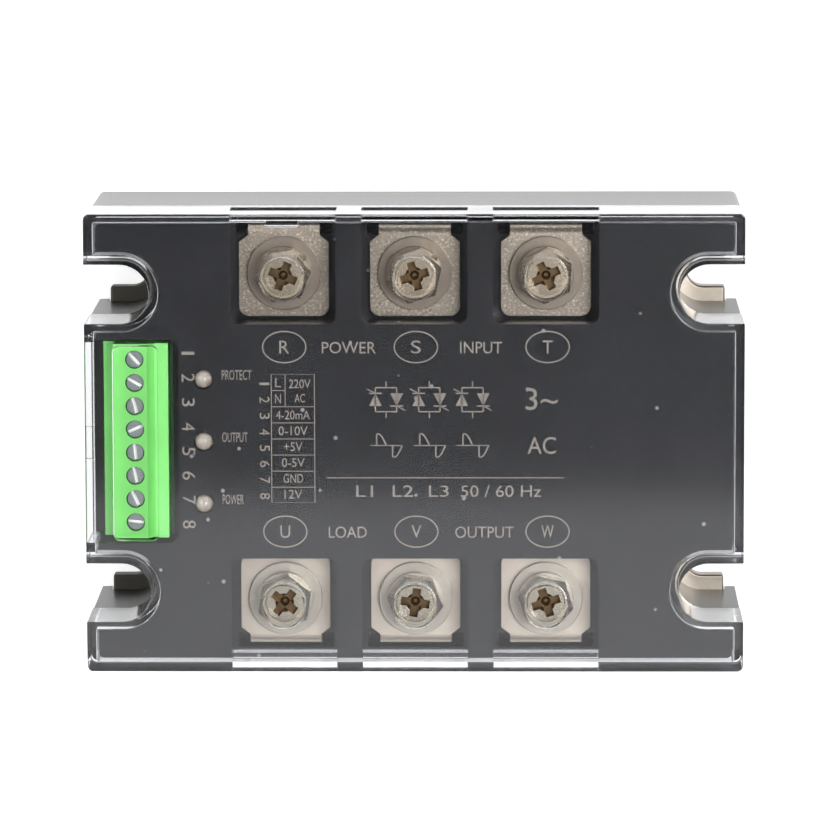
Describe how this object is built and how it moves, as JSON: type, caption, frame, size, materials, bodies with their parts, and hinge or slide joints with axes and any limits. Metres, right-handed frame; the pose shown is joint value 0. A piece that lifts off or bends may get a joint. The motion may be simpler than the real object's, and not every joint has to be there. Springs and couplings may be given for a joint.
{
  "type": "solid state relay",
  "caption": "Three-phase solid state power relay with six screw terminals, a plug-in control connector, status lamps, a metal base and a clear cover.",
  "frame": {"origin": "centre of the mounting face, on the heat sink's surface", "axes": "+Z out of the cover's face, +X along the long side away from the control plug, +Y towards the line terminals R, S and T"},
  "size_m": [0.1066, 0.0748, 0.036],
  "materials": {
    "clear_plastic": "clear moulded polycarbonate, polished, darkened by the black housing behind it",
    "black_plastic": "black moulded plastic with a fine satin face",
    "base_metal": "nickel-plated base plate, satin",
    "terminal_metal": "nickel-plated brass terminal plate, warm satin with fine mottling",
    "screw_metal": "nickel-plated steel, bright, worn in the recess",
    "washer_metal": "nickel-plated steel, stamped",
    "green_plastic": "bright green moulded polyamide",
    "header_plastic": "green moulded polyamide",
    "contact_metal": "tin-plated brass contact",
    "cage_metal": "zinc-plated steel cage",
    "small_screw_metal": "zinc-plated steel, slotted",
    "led_lens": "milky diffused resin",
    "board_laminate": "green glass-epoxy laminate with solder mask",
    "package_resin": "black moulding resin",
    "coupler_resin": "white moulding resin",
    "core_steel": "stacked silicon-steel laminations",
    "winding_copper": "enamelled copper winding",
    "capacitor_sleeve": "dark shrink sleeve over an aluminium can",
    "varistor_coat": "blue epoxy coat",
    "ceramic": "alumina substrate",
    "silicon": "glassed silicon chip",
    "copper": "bare copper strap",
    "resin": "dark potting resin",
    "print_ink": "pale grey-brown printed ink on the housing's face"
  },
  "bodies": {
    "relay": {"housing": "black_plastic", "base_plate": "base_metal", "terminal_plate_r": "terminal_metal", "terminal_plate_s": "terminal_metal", "terminal_plate_t": "terminal_metal", "terminal_plate_u": "terminal_metal", "terminal_plate_v": "terminal_metal", "terminal_plate_w": "terminal_metal", "terminal_nuts": "cage_metal", "header_body": "header_plastic", "header_pins": "contact_metal", "status_led_1": "led_lens", "status_led_2": "led_lens", "status_led_3": "led_lens", "led_leads": "contact_metal", "control_board": "board_laminate", "controller_chip": "package_resin", "trigger_coupler_r": "coupler_resin", "trigger_coupler_s": "coupler_resin", "trigger_coupler_t": "coupler_resin", "transformer_core": "core_steel", "transformer_winding": "winding_copper", "supply_capacitors": "capacitor_sleeve", "surge_varistors": "varistor_coat", "gate_leads": "contact_metal", "ceramic_substrates": "ceramic", "thyristor_chips": "silicon", "chip_straps": "copper", "potting_resin": "resin"},
    "clear_cover": {"clear_cover": "clear_plastic"},
    "control_plug": {"plug_body": "green_plastic", "plug_contacts": "contact_metal"},
    "washers_r": {"terminal_washers_r": "washer_metal"},
    "screw_r": {"terminal_screw_r": "screw_metal"},
    "washers_s": {"terminal_washers_s": "washer_metal"},
    "screw_s": {"terminal_screw_s": "screw_metal"},
    "washers_t": {"terminal_washers_t": "washer_metal"},
    "screw_t": {"terminal_screw_t": "screw_metal"},
    "washers_u": {"terminal_washers_u": "washer_metal"},
    "screw_u": {"terminal_screw_u": "screw_metal"},
    "washers_v": {"terminal_washers_v": "washer_metal"},
    "screw_v": {"terminal_screw_v": "screw_metal"},
    "washers_w": {"terminal_washers_w": "washer_metal"},
    "screw_w": {"terminal_screw_w": "screw_metal"},
    "cage_1": {"wire_cage_1": "cage_metal"},
    "way_screw_1": {"plug_screw_1": "small_screw_metal"},
    "cage_2": {"wire_cage_2": "cage_metal"},
    "way_screw_2": {"plug_screw_2": "small_screw_metal"},
    "cage_3": {"wire_cage_3": "cage_metal"},
    "way_screw_3": {"plug_screw_3": "small_screw_metal"},
    "cage_4": {"wire_cage_4": "cage_metal"},
    "way_screw_4": {"plug_screw_4": "small_screw_metal"},
    "cage_5": {"wire_cage_5": "cage_metal"},
    "way_screw_5": {"plug_screw_5": "small_screw_metal"},
    "cage_6": {"wire_cage_6": "cage_metal"},
    "way_screw_6": {"plug_screw_6": "small_screw_metal"},
    "cage_7": {"wire_cage_7": "cage_metal"},
    "way_screw_7": {"plug_screw_7": "small_screw_metal"},
    "cage_8": {"wire_cage_8": "cage_metal"},
    "way_screw_8": {"plug_screw_8": "small_screw_metal"}
  },
  "joints": [
    {"name": "cover_lift", "type": "slide", "parent": "relay", "child": "clear_cover", "axis": [0, 0, 1], "range_m": [0, 0.025]},
    {"name": "plug_pull", "type": "slide", "parent": "relay", "child": "control_plug", "axis": [-1, 0, 0], "range_m": [0, 0.014]},
    {"name": "screw_r_rise", "type": "slide", "parent": "relay", "child": "washers_r", "axis": [0, 0, 1], "range_m": [0, 0.0016]},
    {"name": "screw_r_turn", "type": "hinge", "parent": "washers_r", "child": "screw_r", "pos_m": [-0.0213, 0.0268, 0.0283], "axis": [0, 0, 1], "range_deg": [0, 720]},
    {"name": "screw_s_rise", "type": "slide", "parent": "relay", "child": "washers_s", "axis": [0, 0, 1], "range_m": [0, 0.0016]},
    {"name": "screw_s_turn", "type": "hinge", "parent": "washers_s", "child": "screw_s", "pos_m": [0, 0.0268, 0.0283], "axis": [0, 0, 1], "range_deg": [0, 720]},
    {"name": "screw_t_rise", "type": "slide", "parent": "relay", "child": "washers_t", "axis": [0, 0, 1], "range_m": [0, 0.0016]},
    {"name": "screw_t_turn", "type": "hinge", "parent": "washers_t", "child": "screw_t", "pos_m": [0.0213, 0.0268, 0.0283], "axis": [0, 0, 1], "range_deg": [0, 720]},
    {"name": "screw_u_rise", "type": "slide", "parent": "relay", "child": "washers_u", "axis": [0, 0, 1], "range_m": [0, 0.0016]},
    {"name": "screw_u_turn", "type": "hinge", "parent": "washers_u", "child": "screw_u", "pos_m": [-0.0213, -0.0268, 0.0283], "axis": [0, 0, 1], "range_deg": [0, 720]},
    {"name": "screw_v_rise", "type": "slide", "parent": "relay", "child": "washers_v", "axis": [0, 0, 1], "range_m": [0, 0.0016]},
    {"name": "screw_v_turn", "type": "hinge", "parent": "washers_v", "child": "screw_v", "pos_m": [0, -0.0268, 0.0283], "axis": [0, 0, 1], "range_deg": [0, 720]},
    {"name": "screw_w_rise", "type": "slide", "parent": "relay", "child": "washers_w", "axis": [0, 0, 1], "range_m": [0, 0.0016]},
    {"name": "screw_w_turn", "type": "hinge", "parent": "washers_w", "child": "screw_w", "pos_m": [0.0213, -0.0268, 0.0283], "axis": [0, 0, 1], "range_deg": [0, 720]},
    {"name": "cage_1_rise", "type": "slide", "parent": "control_plug", "child": "cage_1", "axis": [0, 0, 1], "range_m": [0, 0.002]},
    {"name": "way_screw_1_turn", "type": "hinge", "parent": "control_plug", "child": "way_screw_1", "pos_m": [-0.0454, 0.01334, 0.0306], "axis": [0, 0, 1], "range_deg": [-1800, 0]},
    {"name": "cage_2_rise", "type": "slide", "parent": "control_plug", "child": "cage_2", "axis": [0, 0, 1], "range_m": [0, 0.002]},
    {"name": "way_screw_2_turn", "type": "hinge", "parent": "control_plug", "child": "way_screw_2", "pos_m": [-0.0454, 0.00953, 0.0306], "axis": [0, 0, 1], "range_deg": [-1800, 0]},
    {"name": "cage_3_rise", "type": "slide", "parent": "control_plug", "child": "cage_3", "axis": [0, 0, 1], "range_m": [0, 0.002]},
    {"name": "way_screw_3_turn", "type": "hinge", "parent": "control_plug", "child": "way_screw_3", "pos_m": [-0.0454, 0.00571, 0.0306], "axis": [0, 0, 1], "range_deg": [-1800, 0]},
    {"name": "cage_4_rise", "type": "slide", "parent": "control_plug", "child": "cage_4", "axis": [0, 0, 1], "range_m": [0, 0.002]},
    {"name": "way_screw_4_turn", "type": "hinge", "parent": "control_plug", "child": "way_screw_4", "pos_m": [-0.0454, 0.00191, 0.0306], "axis": [0, 0, 1], "range_deg": [-1800, 0]},
    {"name": "cage_5_rise", "type": "slide", "parent": "control_plug", "child": "cage_5", "axis": [0, 0, 1], "range_m": [0, 0.002]},
    {"name": "way_screw_5_turn", "type": "hinge", "parent": "control_plug", "child": "way_screw_5", "pos_m": [-0.0454, -0.00191, 0.0306], "axis": [0, 0, 1], "range_deg": [-1800, 0]},
    {"name": "cage_6_rise", "type": "slide", "parent": "control_plug", "child": "cage_6", "axis": [0, 0, 1], "range_m": [0, 0.002]},
    {"name": "way_screw_6_turn", "type": "hinge", "parent": "control_plug", "child": "way_screw_6", "pos_m": [-0.0454, -0.00571, 0.0306], "axis": [0, 0, 1], "range_deg": [-1800, 0]},
    {"name": "cage_7_rise", "type": "slide", "parent": "control_plug", "child": "cage_7", "axis": [0, 0, 1], "range_m": [0, 0.002]},
    {"name": "way_screw_7_turn", "type": "hinge", "parent": "control_plug", "child": "way_screw_7", "pos_m": [-0.0454, -0.00953, 0.0306], "axis": [0, 0, 1], "range_deg": [-1800, 0]},
    {"name": "cage_8_rise", "type": "slide", "parent": "control_plug", "child": "cage_8", "axis": [0, 0, 1], "range_m": [0, 0.002]},
    {"name": "way_screw_8_turn", "type": "hinge", "parent": "control_plug", "child": "way_screw_8", "pos_m": [-0.0454, -0.01334, 0.0306], "axis": [0, 0, 1], "range_deg": [-1800, 0]}
  ],
  "couplings": [
    {"joint": "screw_r_turn", "follows": "screw_r_rise", "rad_per_m": 7854},
    {"joint": "screw_s_turn", "follows": "screw_s_rise", "rad_per_m": 7854},
    {"joint": "screw_t_turn", "follows": "screw_t_rise", "rad_per_m": 7854},
    {"joint": "screw_u_turn", "follows": "screw_u_rise", "rad_per_m": 7854},
    {"joint": "screw_v_turn", "follows": "screw_v_rise", "rad_per_m": 7854},
    {"joint": "screw_w_turn", "follows": "screw_w_rise", "rad_per_m": 7854},
    {"joint": "way_screw_1_turn", "follows": "cage_1_rise", "rad_per_m": -15708},
    {"joint": "way_screw_2_turn", "follows": "cage_2_rise", "rad_per_m": -15708},
    {"joint": "way_screw_3_turn", "follows": "cage_3_rise", "rad_per_m": -15708},
    {"joint": "way_screw_4_turn", "follows": "cage_4_rise", "rad_per_m": -15708},
    {"joint": "way_screw_5_turn", "follows": "cage_5_rise", "rad_per_m": -15708},
    {"joint": "way_screw_6_turn", "follows": "cage_6_rise", "rad_per_m": -15708},
    {"joint": "way_screw_7_turn", "follows": "cage_7_rise", "rad_per_m": -15708},
    {"joint": "way_screw_8_turn", "follows": "cage_8_rise", "rad_per_m": -15708}
  ]
}
